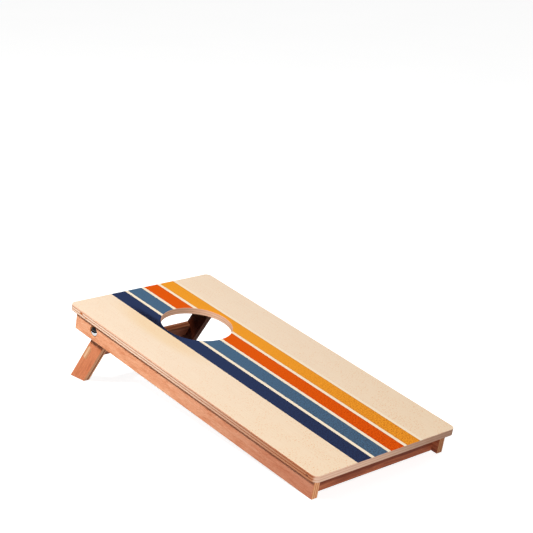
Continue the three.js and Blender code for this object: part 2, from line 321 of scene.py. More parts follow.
def set_stops(ramp, stops):
    """Stops are (position, colour) pairs."""
    elements = ramp.color_ramp.elements
    while len(elements) < len(stops):
        elements.new(1.0)
    for element, (position, tone) in zip(elements, stops):
        element.position = position
        element.color = tone


class Shader:
    """A material being wired, in board or leg axes. Its methods add nodes and return an output."""

    def __init__(self, name, axes=board):
        self.material = bpy.data.materials.new(name)
        self.material.use_nodes = True
        self.tree = self.material.node_tree
        self.surface = self.tree.nodes["Principled BSDF"]
        coordinates = self.tree.nodes.new("ShaderNodeTexCoord")
        self.place = self.in_axes(coordinates.outputs["Object"], axes, axes.translation)
        self.facing = self.in_axes(coordinates.outputs["Normal"], axes, (0, 0, 0))

    def in_axes(self, vector, axes, origin):
        made = self.tree.nodes.new("ShaderNodeMapping")
        made.vector_type = "TEXTURE"
        made.inputs["Location"].default_value = origin
        made.inputs["Rotation"].default_value = axes.to_euler()
        self.feed(made.inputs["Vector"], vector)
        return made.outputs[0]

    def feed(self, socket, value):
        if isinstance(value, bpy.types.NodeSocket):
            self.tree.links.new(value, socket)
        else:
            socket.default_value = value

    def math(self, operation, *values):
        made = self.tree.nodes.new("ShaderNodeMath")
        made.operation = operation
        for socket, value in zip(made.inputs, values):
            self.feed(socket, value)
        return made.outputs[0]

    def part(self, vector, axis):
        made = self.tree.nodes.new("ShaderNodeSeparateXYZ")
        self.feed(made.inputs[0], vector)
        return made.outputs[axis]

    def along(self, axis):
        return self.part(self.place, axis)

    def plus(self, value, extra, times):
        """value + extra * times"""
        return self.math("ADD", value, self.math("MULTIPLY", extra, times))

    def apart(self, value, other):
        return self.math("ABSOLUTE", self.math("SUBTRACT", value, other))

    def sway(self, noise, times):
        """A noise, less its middle value, times a number."""
        return self.math("MULTIPLY", self.math("SUBTRACT", noise, 0.5), times)

    def oval(self, *spans):
        """Squared distance from a middle, 1 on the rim. Spans are (axis, middle, half size)."""
        squares = []
        for axis, middle, half in spans:
            off = self.math("DIVIDE", self.math("SUBTRACT", self.along(axis), middle), half)
            squares.append(self.math("MULTIPLY", off, off))
        return self.math("ADD", *squares)

    def noise(self, size, stretch=(1, 1, 1), detail=2.0, roughness=0.5, distortion=0.0, shift=0.0):
        """Noise with features of about size, drawn out by stretch along each axis."""
        mapping = self.tree.nodes.new("ShaderNodeMapping")
        mapping.inputs["Scale"].default_value = [1 / (size * share) for share in stretch]
        mapping.inputs["Location"].default_value = (shift, shift, shift)
        self.feed(mapping.inputs["Vector"], self.place)
        made = self.tree.nodes.new("ShaderNodeTexNoise")
        self.feed(made.inputs["Vector"], mapping.outputs[0])
        self.feed(made.inputs["Scale"], 1.0)
        self.feed(made.inputs["Detail"], detail)
        self.feed(made.inputs["Roughness"], roughness)
        self.feed(made.inputs["Distortion"], distortion)
        return made.outputs["Fac"]

    def step(self, value, start, end):
        """0 at start, 1 at end, smooth between and level beyond."""
        made = self.tree.nodes.new("ShaderNodeMapRange")
        made.interpolation_type = "SMOOTHSTEP"
        for name, number in (("Value", value), ("From Min", start), ("From Max", end)):
            self.feed(made.inputs[name], number)
        return made.outputs[0]

    def ramp(self, value, *stops, constant=False):
        made = self.tree.nodes.new("ShaderNodeValToRGB")
        made.color_ramp.interpolation = "CONSTANT" if constant else "LINEAR"
        set_stops(made, stops)
        self.feed(made.inputs[0], value)
        return made.outputs[0]

    def mix(self, share, under, over, blend="MIX"):
        made = self.tree.nodes.new("ShaderNodeMix")
        made.data_type = "RGBA"
        made.blend_type = blend
        self.feed(made.inputs["Factor"], share)
        self.feed(made.inputs[6], under)
        self.feed(made.inputs[7], over)
        return made.outputs[2]

    def stain(self, under, tone, mask, strength):
        """Multiplies a tone into what is under it, as far as mask * strength."""
        return self.mix(self.math("MULTIPLY", mask, strength), under, tone, "MULTIPLY")

    def bump(self, height, depth):
        made = self.tree.nodes.new("ShaderNodeBump")
        made.inputs["Distance"].default_value = depth
        self.feed(made.inputs["Height"], height)
        return made.outputs[0]

    def finish(self, **sockets):
        """Sets the surface's sockets, such as Base_Color, and returns the material."""
        for name, value in sockets.items():
            self.feed(self.surface.inputs[name.replace("_", " ")], value)
        return self.material


# ---- the printed face ----
CREAM = colour(246, 224, 199)
GAP_CREAM = colour(248, 231, 206)
WARM_CREAM = colour(242, 210, 164)
AGED_CREAM = colour(243, 217, 184)
FLECK_TAN = colour(230, 168, 106)
NAVY = colour(45, 58, 93)
BLUE = colour(76, 107, 136)
RED = colour(230, 92, 14)
YELLOW = colour(245, 161, 46)

INK_SOFTNESS = 0.25 * MM
INK_RIM = 1.3 * MM
WEAR_AND_PAINTED_SHADE_START = 0.46  # up the board: from here, the print's wear and the long sides' painted shade grow towards the low end
WEAR_FULL = 0.06
WARM_PATCH = (-74 * MM, 4 * MM, 22 * MM, 95 * MM)  # x, y past the bag hole, half width, half length
SCUFF = (-61 * MM, 34 * MM, 9 * MM, 56 * MM)


def stripe_layout(shader):
    """(how far along the row of stripes, how far from a stripe's middle), both in pitches."""
    from_left = shader.math("ADD", shader.along(0), deck_width / 2)
    row = shader.math("DIVIDE", shader.math("SUBTRACT", from_left, STRIPES_START), STRIPE_PITCH)
    return row, shader.apart(shader.math("FRACT", row), STRIPE_WIDTH / STRIPE_PITCH / 2)


def patch(shader, place, fray):
    """An oval mask on the deck, frayed by a noise: full in half its size, gone at 1.5 times."""
    x, past_hole, half_width, half_length = place
    y = deck_length - BAG_HOLE_FROM_HIGH_END + past_hole
    distance = shader.math("SQRT", shader.oval((0, x, half_width), (1, y, half_length)))
    return shader.step(shader.math("ADD", distance, fray), 1.5, 0.5)


def printed_face():
    shader = Shader("printed_face")
    row, off = stripe_layout(shader)
    half = STRIPE_WIDTH / STRIPE_PITCH / 2
    soft = INK_SOFTNESS / STRIPE_PITCH
    rim = INK_RIM / STRIPE_PITCH
    middle = STRIPE_COUNT / 2
    among = shader.step(shader.apart(row, middle), middle + soft, middle)
    inked = shader.math("MULTIPLY", shader.step(off, half + soft, half - soft), among)
    between = shader.math("MULTIPLY", shader.step(off, half - soft, half + soft), among)

    grain = shader.noise(0.9 * MM, detail=2, roughness=0.7)
    crumb = shader.noise(1.7 * MM, (1, 1.6, 1), detail=4, roughness=0.75, shift=2)
    cloud = shader.noise(60 * MM, detail=3)
    streak = shader.noise(1.2 * MM, (1, 60, 1), detail=2)
    fleck = shader.noise(1.9 * MM, (1, 1.5, 1), detail=1, shift=7)
    spread = shader.noise(26 * MM, detail=2, shift=5)
    fray = shader.sway(crumb, 0.8)
    aged = shader.step(shader.plus(shader.along(1), cloud, 0.12), WEAR_AND_PAINTED_SHADE_START, WEAR_FULL)

    # the stripes: flat ink with dark specks, heavier towards the low end
    ink = shader.ramp(shader.math("DIVIDE", row, STRIPE_COUNT),
                      (0.0, NAVY), (0.25, BLUE), (0.5, RED), (0.75, YELLOW), constant=True)
    ink = shader.stain(ink, colour(160, 150, 150), shader.step(off, half - rim, half - soft), 0.35)
    worn = shader.plus(0.16, aged, 0.80)
    ink = shader.stain(ink, colour(196, 128, 112), shader.step(crumb, 0.47, 0.62), worn)
    ink = shader.stain(ink, colour(200, 180, 170), shader.step(grain, 0.45, 0.75), 0.30)
    # and the navy one is scuffed dark beside the bag hole
    scuff = patch(shader, SCUFF, fray)
    ink = shader.stain(ink, colour(135, 95, 90), scuff, shader.step(crumb, 0.38, 0.56))

    # the ground: cream with faint streaks, tan flecks and one warm patch beside the bag hole
    warmth = shader.math("MULTIPLY", patch(shader, WARM_PATCH, fray), 0.6)
    ground = shader.mix(warmth, CREAM, WARM_CREAM)
    ground = shader.mix(shader.math("MULTIPLY", aged, 0.5), ground, AGED_CREAM)
    ground = shader.stain(ground, colour(215, 196, 172), shader.step(streak, 0.35, 0.7), 0.10)
    ground = shader.stain(ground, colour(236, 205, 165), shader.step(crumb, 0.52, 0.70), 0.22)
    clusters = shader.step(spread, 0.35, 0.55)
    strewn = shader.math("MULTIPLY", shader.step(fleck, 0.60, 0.68), clusters)
    flecked = shader.math("MULTIPLY", strewn, shader.plus(0.35, aged, 0.5))
    ground = shader.mix(flecked, ground, FLECK_TAN)
    ground = shader.mix(between, ground, GAP_CREAM)

    height = shader.plus(shader.math("MULTIPLY", streak, 0.6), grain, 0.4)
    return shader.finish(
        Base_Color=shader.mix(inked, ground, ink),
        Roughness=shader.plus(0.50, crumb, 0.16),
        Normal=shader.bump(height, 0.03 * MM),
        Specular_IOR_Level=0.12,
    )


# ---- wood ----
# painted shade, multiplied into the long sides' faces towards the low end
LOW_END_PAINTED_SHADE = colour(203, 185, 186)
# painted shade, multiplied into the cross rails' upper part under the deck
UNDER_DECK_PAINTED_SHADE = colour(174, 152, 146)
# painted shade, multiplied into the long sides' edges towards the low end
LOW_END_EDGE_PAINTED_SHADE = colour(190, 148, 122)
# painted shade, multiplied into the ends of the edges towards the right
RIGHT_END_PAINTED_SHADE = colour(190, 182, 178)
RIGHT_END_PAINTED_SHADE_SPAN = (-120 * MM, 150 * MM)  # x where the painted shade on the ends starts and is full
STAINED = (colour(226, 150, 108), colour(245, 176, 135), colour(251, 191, 152))
LEG_STAINED = (colour(200, 114, 74), colour(220, 136, 94), colour(232, 152, 110))
# the legs' inner faces: a darker stain, deepened with painted shade
INNER_STAIN_AND_PAINTED_SHADE = (colour(56, 22, 12), colour(70, 30, 17), colour(88, 42, 26))
FRAME_STAINED = (colour(132, 70, 48), colour(164, 92, 62), colour(188, 114, 80))
THIN_SHEET = dict(pitch=4 * MM, phase=-0.3 * MM)
LEG_SHEET = dict(pitch=12 * MM, phase=-1 * MM, share=0.19)
DECK_SHEET = dict(pitch=4.15 * MM, phase=0.42 * MM)
RAIL_LAYERS = dict(THIN_SHEET,
                   long_tones=(colour(236, 170, 120), colour(214, 142, 96)),
                   cross_tones=(colour(136, 74, 46), colour(244, 190, 146)))
DARK_LAYERS = dict(THIN_SHEET,
                   long_tones=(colour(180, 108, 72), colour(156, 88, 58)),
                   cross_tones=(colour(112, 58, 38), colour(184, 120, 82)))
LEG_LAYERS = dict(LEG_SHEET,
                  long_tones=(colour(246, 180, 136), colour(214, 142, 96)),
                  cross_tones=(colour(120, 62, 38), colour(240, 190, 146)))
# the right leg's edges: the leg's layers in painted shade
PAINTED_SHADE_LEG_LAYERS = dict(LEG_SHEET,
                       long_tones=(colour(110, 60, 38), colour(140, 84, 56)),
                       cross_tones=(colour(74, 38, 24), colour(160, 104, 72)))
DECK_LAYERS = dict(DECK_SHEET,
                   long_tones=(colour(246, 217, 193), colour(240, 202, 178)),
                   cross_tones=(colour(198, 134, 98), colour(226, 180, 152)))
HOLE_LAYERS = dict(DECK_SHEET,
                   long_tones=(colour(224, 182, 154), colour(222, 178, 150)),
                   cross_tones=(colour(208, 160, 132), colour(204, 158, 130)))
SPREADER_LAYERS = dict(phase=0,
                       long_tones=(colour(184, 120, 84), colour(214, 152, 110)),
                       cross_tones=(colour(150, 88, 58), colour(238, 194, 156)))
DECK_KNOTS = (  # x, y, z, half length, half height, tone
    (-150 * MM, 566 * MM, -4.6 * MM, 4 * MM, 1.5 * MM, colour(190, 104, 52)),
    (-150 * MM, 553 * MM, -7.6 * MM, 3 * MM, 0.9 * MM, colour(206, 130, 78)),
    (-150 * MM, 17 * MM, -5.6 * MM, 3 * MM, 1.3 * MM, colour(104, 62, 46)),
)


def drawn_out(axis, length, across=1.0):
    stretch = [across] * 3
    stretch[axis] = length
    return tuple(stretch)


def veneer(name, dark, middle, light, grain_axis, axes=board, fade=None, painted_shade_tone=None, sheen=0.2):
    """The face of a sheet of plywood, with its grain along an axis. A tone of painted shade is
    multiplied in where the mask from fade(shader) is, and sheen is the strength of the gloss."""
    shader = Shader(name, axes)
    figure = shader.noise(5 * MM, drawn_out(grain_axis, 9), detail=5, roughness=0.6, distortion=0.7)
    ribbon = shader.noise(18 * MM, drawn_out(grain_axis, 4), detail=3, distortion=0.4, shift=3)
    fibre = shader.noise(0.55 * MM, drawn_out(grain_axis, 9), detail=3, roughness=0.65)
    pore = shader.noise(0.7 * MM, drawn_out(grain_axis, 5), detail=1, shift=9)
    tone = shader.plus(shader.math("MULTIPLY", figure, 0.6), ribbon, 0.4)
    face = shader.ramp(tone, (0.38, dark), (0.5, middle), (0.62, light))
    face = shader.stain(face, colour(206, 168, 146), shader.step(fibre, 0.40, 0.66), 0.45)
    face = shader.stain(face, colour(185, 135, 105), shader.step(pore, 0.62, 0.72), 0.30)
    # a painted shade, multiplied in by the mask
    if fade:
        face = shader.mix(fade(shader), face, painted_shade_tone, "MULTIPLY")
    return shader.finish(
        Base_Color=face,
        Roughness=shader.plus(0.50, fibre, 0.2),
        Normal=shader.bump(shader.plus(fibre, shader.step(pore, 0.60, 0.72), -0.8), 0.05 * MM),
        Specular_IOR_Level=sheen,
    )


def ply_edge(name, axis, centre, start, long_axis, pitch, phase, long_tones, cross_tones,
             share=0.34, top=None, axes=board, fade=None, knots=()):
    """The edge of plywood whose layers are stacked along an axis, away from start on either side of
    centre. Thick long-grain layers and thin cross-grain ones, share wide, make up each pitch, and
    they trade looks on the sheet's ends. Tones are (on a side, on an end), and top is the tone of
    the face veneer's cut edge. With fade the sides take painted shade in the mask from fade(shader),
    and the ends take painted shade that darkens to the right."""
    shader = Shader(name, axes)
    depth = shader.math("SUBTRACT", shader.apart(shader.along(axis), centre), start)
    wave = shader.sway(shader.noise(9 * MM, drawn_out(axis, 1, 12), detail=2), 0.8 * MM)
    down = shader.math("SUBTRACT", shader.math("ADD", depth, wave), phase)
    layer = shader.math("FRACT", shader.math("DIVIDE", down, pitch))
    cross = shader.step(shader.apart(layer, 0.5), share / 2 + 0.04, share / 2 - 0.04)
    end = shader.step(shader.math("ABSOLUTE", shader.part(shader.facing, long_axis)), 0.3, 0.85)
    on_side = shader.math("SUBTRACT", 1, end)
    fibre = shader.noise(0.45 * MM, drawn_out(axis, 0.6, 16), detail=3, roughness=0.65)
    blotch = shader.noise(5 * MM, drawn_out(axis, 0.3, 4), detail=4, roughness=0.6, shift=5)
    edge = shader.mix(cross, shader.mix(end, *long_tones), shader.mix(end, *cross_tones))
    edge = shader.stain(edge, colour(205, 160, 132), shader.step(fibre, 0.45, 0.7), 0.22)
    edge = shader.stain(edge, colour(215, 172, 142), shader.step(blotch, 0.5, 0.72), 0.25)
    if top:
        cut_face = shader.step(depth, 0.6 * MM, 0.35 * MM)
        edge = shader.mix(shader.math("MULTIPLY", cut_face, on_side), edge, top)
    if fade:
        # painted shade on the sides, darker towards the low end
        edge = shader.stain(edge, LOW_END_EDGE_PAINTED_SHADE, fade(shader), on_side)
        # painted shade on the ends, darker to the right
        right_painted_shade_mask = shader.step(shader.along(0), *RIGHT_END_PAINTED_SHADE_SPAN)
        edge = shader.stain(edge, RIGHT_END_PAINTED_SHADE, right_painted_shade_mask, end)
    for x, y, z, half_length, half_height, tone in knots:
        square = shader.oval((1, y, half_length), (2, z, half_height))
        spot = shader.step(shader.math("ADD", square, shader.sway(fibre, 1.5)), 1.3, 0.6)
        on_edge = shader.step(shader.apart(shader.along(0), x), 4 * MM, 3 * MM)
        edge = shader.mix(shader.math("MULTIPLY", spot, on_edge), edge, tone)
    return shader.finish(
        Base_Color=edge,
        Roughness=shader.plus(0.6, fibre, 0.2),
        Normal=shader.bump(shader.plus(fibre, cross, -0.5), 0.06 * MM),
        Specular_IOR_Level=0.15,
    )


def low_end_painted_shade(shader):
    """Mask of the painted shade that darkens the board's long sides towards the low end."""
    return shader.step(shader.along(1), WEAR_AND_PAINTED_SHADE_START, 0.0)


def under_deck_painted_shade(shader):
    """Mask of the painted shade in the cross rails' upper part, under the deck."""
    return shader.step(shader.along(2), -38 * MM, -33 * MM)


def beech():
    shader = Shader("beech")
    fibre = shader.noise(0.9 * MM, drawn_out(0, 20), detail=3)
    ray = shader.noise(0.5 * MM, drawn_out(0, 5), detail=1, shift=4)
    base = shader.ramp(fibre, (0.35, colour(198, 160, 112)), (0.65, colour(222, 190, 145)))
    rays = shader.math("MULTIPLY", shader.step(ray, 0.6, 0.7), 0.5)
    rayed = shader.mix(rays, base, colour(170, 120, 78))
    return shader.finish(Base_Color=rayed, Roughness=0.68, Normal=shader.bump(fibre, 0.05 * MM))


# ---- metal and plastic ----
def metal(name, low, high, roughness, spread, depth):
    """Plated metal: tone and gloss drift a little, over fine scratches."""
    shader = Shader(name)
    drift = shader.noise(3 * MM, detail=3)
    scratch = shader.noise(0.12 * MM, (1, 14, 1), detail=2, roughness=0.7)
    return shader.finish(
        Base_Color=shader.ramp(drift, (0.3, low), (0.7, high)),
        Metallic=1.0,
        Roughness=shader.plus(roughness, scratch, spread),
        Normal=shader.bump(scratch, depth),
    )


def nylon():
    shader = Shader("nylon")
    drift = shader.noise(2 * MM, detail=3)
    tone = shader.ramp(drift, (0.3, colour(222, 218, 206)), (0.7, colour(234, 231, 222)))
    return shader.finish(Base_Color=tone, Roughness=0.48, Normal=shader.bump(drift, 0.02 * MM))


# ---- holes ----
TURNS = (
    Matrix.Rotation(math.pi / 2, 4, "Y"),
    Matrix.Rotation(math.pi / 2, 4, "X"),
    Matrix.Identity(4),
)


def seat(low, high, axis):
    """(place, length) of a turned piece in a box. Its z axis runs right, forwards or up."""
    start = (low + high) / 2
    start[axis] = high.y if axis == 1 else low[axis]
    return Matrix.Translation(start) @ TURNS[axis], high[axis] - low[axis]


def screw_bore(length, counterbore):
    """The room round a screw whose head's face is at z = 0 and whose point is at z = length."""
    head = SCREW_HEAD_RADIUS + FIT
    shank = SCREW_ROOT_RADIUS + SCREW_THREAD_DEPTH + FIT
    return turned([
        (-counterbore, 0), (-counterbore, head), (SCREW_HEAD_RIM + FIT, head),
        (SCREW_HEAD_HEIGHT + FIT, shank), (length + FIT, shank), (length + FIT, 0),
    ])


def pivot_bore():
    """In from the rail's outer face: chamfered counterbore, then bore through rail and block."""
    mouth = COUNTERBORE_RADIUS + COUNTERBORE_CHAMFER
    bore = SLEEVE_RADIUS + FIT
    through = 2 * sheet_thickness + 2 * OVERSHOOT
    return turned([
        (-OVERSHOOT, 0), (-OVERSHOOT, mouth + OVERSHOOT),
        (COUNTERBORE_CHAMFER, COUNTERBORE_RADIUS), (COUNTERBORE_DEPTH, COUNTERBORE_RADIUS),
        (COUNTERBORE_DEPTH, bore), (through, bore), (through, 0),
    ], segments=64)


def bag_hole_bore():
    """Through the deck, with both rims eased."""
    steps = 4
    rim = []
    for i in range(steps + 1):
        angle = math.radians(90 * i / steps)
        drop = HOLE_EASING * (1 - math.sin(angle))
        rim.append((drop, BAG_HOLE_RADIUS + HOLE_EASING * (1 - math.cos(angle))))
    lower = [(-deck_thickness + drop, radius) for drop, radius in rim[::-1]]
    upper = [(-drop, radius) for drop, radius in rim]
    wide = BAG_HOLE_RADIUS + HOLE_EASING
    return turned([
        (-deck_thickness - OVERSHOOT, 0), (-deck_thickness - OVERSHOOT, wide), *lower, *upper,
        (OVERSHOOT, wide), (OVERSHOOT, 0),
    ], segments=192)


def inwards(side, y, z):
    """A place on a rail's outer face whose z axis points in towards the board's middle."""
    turn = Matrix.Rotation(-side * math.pi / 2, 4, "Y")
    return Matrix.Translation((side * rail_face, y, z)) @ turn


def board_bores():
    """Everything that is bored through deck, rails and blocks, in board axes."""
    bag_hole = Matrix.Translation((0, deck_length - BAG_HOLE_FROM_HIGH_END, 0))
    bores = [placed(bag_hole_bore(), bag_hole)]
    for side in SIDES.values():
        bores.append(placed(pivot_bore(), inwards(side, pivot.y, pivot.z)))
    for node in screw_nodes:
        place, length = seat(*span(node, board), 2)
        sink = place.translation.z - rail_low.z + OVERSHOOT
        bores.append(placed(screw_bore(length, sink), place))
    for node in dowel_nodes:
        low, high = span(node, board)
        place, length = seat(low, high, 0)
        radius = (high.z - low.z) / 2 + FIT
        end = length + 2 * FIT
        rod = turned([(-FIT, 0), (-FIT, radius), (end, radius), (end, 0)], segments=32)
        bores.append(placed(rod, place))
    return together("board_bores", bores, board)


def spreader_outline(front, rear, bottom, top, radius):
    """Square at the rear edge, and round at the two front corners."""
    return [
        (rear, bottom), (rear, top),
        *arc((front + radius, top - radius), radius, 90, 180, steps=8),
        *arc((front + radius, bottom + radius), radius, 180, 270, steps=8),
    ]


def notch(side, grow):
    """The spreader's end as the leg takes it, open at the rear edge."""
    low, high = span("leg_spreader", leg_frame)
    outline = spreader_outline(low.y - grow, high.y + OVERSHOOT, low.z - grow, high.z + grow,
                               NOTCH_CORNER_RADIUS + grow)
    near, far = sorted((side * (leg_low.x - OVERSHOOT), side * (leg_high.x + OVERSHOOT)))
    return prism(outline, 0, near, far)


def leg_bores():
    """(pivot bores and notches, screw holes) of the legs and the spreader, in leg axes."""
    openings = []
    for side in SIDES.values():
        reach = sheet_thickness + 2 * OVERSHOOT
        radius = SLEEVE_RADIUS + FIT
        rod = turned([(0, 0), (0, radius), (reach, radius), (reach, 0)], segments=64)
        near = min(side * (leg_low.x - OVERSHOOT), side * (leg_high.x + OVERSHOOT))
        openings.append(placed(rod, Matrix.Translation((near, 0, 0)) @ TURNS[0]))
        openings.append(notch(side, FIT))
    holes = []
    for node in leg_screw_nodes:
        place, length = seat(*span(node, leg_frame), 1)
        holes.append(placed(screw_bore(length, 2 * OVERSHOOT), place))
    return (together("leg_openings", openings, leg_frame),
            together("leg_screw_holes", holes, leg_frame))


# ---- wooden pieces ----
def deck_outline():
    radius = DECK_CORNER_RADIUS
    outline = []
    for x, y, start in (
        (deck_high.x - radius, radius, -90),
        (deck_high.x - radius, deck_length - radius, 0),
        (deck_low.x + radius, deck_length - radius, 90),
        (deck_low.x + radius, radius, 180),
    ):
        outline += arc((x, y), radius, start, start + 90, steps=14)
    return outline


def make_deck(bores):
    solid = eased(prism(deck_outline(), 2, deck_low.z, deck_high.z), DECK_EASING)
    piece = cut(new_object("deck_panel_finished", solid, board), bores)
    # its sides take painted shade towards the low end, and its ends painted shade to the right
    edge = ply_edge("deck_edge", 2, 0, 0, 1, top=colour(238, 152, 104), fade=low_end_painted_shade,
                    knots=DECK_KNOTS, **DECK_LAYERS)
    wall = ply_edge("bag_hole_wall", 2, 0, 0, 1, **HOLE_LAYERS)
    back = veneer("deck_underside", *STAINED, grain_axis=1)
    dressed(piece, printed_face(), edge, 2, back)
    piece.data.materials.append(wall)
    middle = Vector((0, deck_length - BAG_HOLE_FROM_HIGH_END, 0))
    for polygon in piece.data.polygons:
        upright = abs(polygon.normal.z) < 0.5
        if upright and (polygon.center - middle).xy.length < BAG_HOLE_RADIUS:
            polygon.material_index = 3
    return handed_in(smoothed(piece), "deck_panel", "board", "printed_deck")


def make_board_timber(bores):
    # the rails' outer faces and edges take painted shade towards the low end, and the edges' ends painted shade to
    # the right
    rail_outer = veneer("rail_outer_face", *STAINED, grain_axis=1,
                        fade=low_end_painted_shade, painted_shade_tone=LOW_END_PAINTED_SHADE)
    rail_inner = veneer("rail_inner_face", *FRAME_STAINED, grain_axis=1)
    rail_edge = ply_edge("rail_edge", 0, 0, rail_low.x, 1, fade=low_end_painted_shade, **RAIL_LAYERS)
    block_face = veneer("block_face", *FRAME_STAINED, grain_axis=1)
    block_low = span("pivot_block_right", board)[0]
    block_edge = ply_edge("block_edge", 0, 0, block_low.x, 1, **DARK_LAYERS)
    for side, sign in SIDES.items():
        for name, width, outer, inner, edge, slot in (
            ("side_rail", RAIL_EASING, rail_outer, rail_inner, rail_edge, "stained_ply"),
            ("pivot_block", FRAME_EASING, block_face, block_face, block_edge, "frame_ply"),
        ):
            node = f"{name}_{side}"
            solid = eased(block(*span(node, board)), width)
            piece = cut(new_object(node + "_finished", solid, board), bores)
            dressed(piece, *((outer, edge, 0, inner) if sign > 0 else (inner, edge, 0, outer)))
            handed_in(smoothed(piece), node, "board", slot)
    middle = deck_length / 2
    # the cross rails' faces take painted shade under the deck
    cross_face = veneer("cross_rail_face", *FRAME_STAINED, grain_axis=0,
                        fade=under_deck_painted_shade, painted_shade_tone=UNDER_DECK_PAINTED_SHADE)
    cross_edge = ply_edge("cross_rail_edge", 1, middle, cross_low.y - middle, 0, **DARK_LAYERS)
    for end in ("low", "high"):
        node = f"cross_rail_{end}"
        solid = eased(block(*span(node, board)), FRAME_EASING)
        piece = cut(new_object(node + "_finished", solid, board), bores)
        dressed(piece, cross_face, cross_edge, 1)
        handed_in(smoothed(piece), node, "board", "frame_ply")


def foot_height(y):
    """Where an edge of the leg, y across it, meets the floor, in leg axes."""
    direction = leg_frame.to_3x3() @ Vector((0, 0, 1))
    point = leg_frame @ Vector((0, y, 0))
    return -point.z / direction.z


def make_legs(openings, screw_holes):
    outer = veneer("leg_outer_face", *LEG_STAINED, grain_axis=2, axes=leg_frame)
    # the inner faces: a darker stain with painted shade
    inner = veneer("leg_inner_face", *INNER_STAIN_AND_PAINTED_SHADE, grain_axis=2, axes=leg_frame, sheen=0.03)
    edges = {
        "left": ply_edge("leg_edge", 0, 0, leg_low.x, 2, axes=leg_frame, **LEG_LAYERS),
        # the right leg's edges are a copy of the left's, in painted shade
        "right": ply_edge("leg_painted_shade_edge", 0, 0, leg_low.x, 2, axes=leg_frame, **PAINTED_SHADE_LEG_LAYERS),
    }
    half = leg_high.y
    outline = [(-half, foot_height(-half)), (half, foot_height(half)),
               *arc((0, 0), half, 0, 180, steps=40)]
    for side, sign in SIDES.items():
        near, far = sorted((sign * leg_low.x, sign * leg_high.x))
        solid = eased(prism(outline, 0, near, far), LEG_EASING)
        piece = new_object(f"leg_{side}_finished", solid, leg_frame)
        cut(cut(piece, openings), screw_holes)
        edge = edges[side]
        dressed(piece, *((outer, edge, 0, inner) if sign > 0 else (inner, edge, 0, outer)))
        handed_in(smoothed(piece), f"leg_{side}", "leg_frame", "stained_ply")


def make_spreader(screw_holes):
    low, high = span("leg_spreader", leg_frame)
    outline = spreader_outline(low.y, high.y, low.z, high.z, NOTCH_CORNER_RADIUS)
    solid = eased(prism(outline, 0, low.x, high.x), FRAME_EASING)
    piece = cut(new_object("leg_spreader_finished", solid, leg_frame), screw_holes)
    face = veneer("spreader_face", *FRAME_STAINED, grain_axis=0, axes=leg_frame)
    edge = ply_edge("spreader_edge", 1, 0, low.y, 0, axes=leg_frame, pitch=high.y - low.y,
                    **SPREADER_LAYERS)
    dressed(piece, face, edge, 1)
    return handed_in(smoothed(piece), "leg_spreader", "leg_frame", "frame_ply")


# ---- hardware ----
def helix(root_from, root_to, pitch, depth, run_out):
    """A thread's relief between two heights, fading in and out over run_out."""
    def relief(height, angle):
        if not root_from < height < root_to:
            return 0
        phase = (height / pitch - angle / (2 * math.pi)) % 1
        fade = min(1, (height - root_from) / run_out, (root_to - height) / run_out)
        return depth * (1 - abs(2 * phase - 1)) * fade
    return relief


def levels(start, end, pitch, radius_at):
    """Profile points close enough to carry a thread of that pitch."""
    count = math.ceil((end - start) / pitch * THREAD_LEVELS)
    heights = [start + (end - start) * i / count for i in range(count + 1)]
    return [(height, radius_at(height)) for height in heights]


def driver_recess():
    """A cross recess sunk from z = 0, narrowing as it goes down."""
    bars = []
    for along, across in ((RECESS_SPAN, RECESS_WIDTH), (RECESS_WIDTH, RECESS_SPAN)):
        low = (-along / 2, -across / 2, -OVERSHOOT / 4)
        bm = block(low, (along / 2, across / 2, RECESS_DEPTH))
        for vertex in bm.verts:
            if vertex.co.z > 0:
                vertex.co.x *= RECESS_TAPER
                vertex.co.y *= RECESS_TAPER
        bars.append(bm)
    return bars


def screw(length, material):
    """A countersunk wood screw: head's face at z = 0, point at z = length."""
    neck = SCREW_HEAD_HEIGHT + SCREW_NECK
    tip = length - SCREW_TIP

    def radius_at(height):
        taper = max(0, (height - tip) / SCREW_TIP)
        return SCREW_ROOT_RADIUS * (1 - taper) + SCREW_TIP_RADIUS * taper

    profile = [
        (0, 0), (0, SCREW_HEAD_RADIUS - SCREW_HEAD_RIM / 2),
        (SCREW_HEAD_RIM / 2, SCREW_HEAD_RADIUS), (SCREW_HEAD_RIM, SCREW_HEAD_RADIUS),
        (SCREW_HEAD_HEIGHT, SCREW_ROOT_RADIUS + SCREW_HEAD_FLARE),
        *levels(neck, length, SCREW_PITCH, radius_at), (length, 0),
    ]
    relief = helix(neck, length, SCREW_PITCH, SCREW_THREAD_DEPTH, SCREW_TIP)
    made = new_object("screw_pattern", turned(profile, segments=24, relief=relief))
    for bar in driver_recess():
        carved(made, bar)
    return coated(made, material)


def make_screws(material):
    """Deck screws point up out of the rails, and spreader screws forwards out of the legs."""
    for nodes, axes, axis, body in (
        (screw_nodes, board, 2, "board"),
        (leg_screw_nodes, leg_frame, 1, "leg_frame"),
    ):
        pattern = screw(seat(*span(nodes[0], axes), axis)[1], material)
        for node in nodes:
            place = axes @ seat(*span(node, axes), axis)[0]
            piece = linked(node + "_finished", pattern.data.copy(), place)
            handed_in(piece, node, body, "zinc")
        bpy.data.objects.remove(pattern)


def flute(_, angle):
    """The relief of a dowel's flutes."""
    return -DOWEL_FLUTE_DEPTH * (0.5 + 0.5 * math.cos(DOWEL_FLUTES * angle))


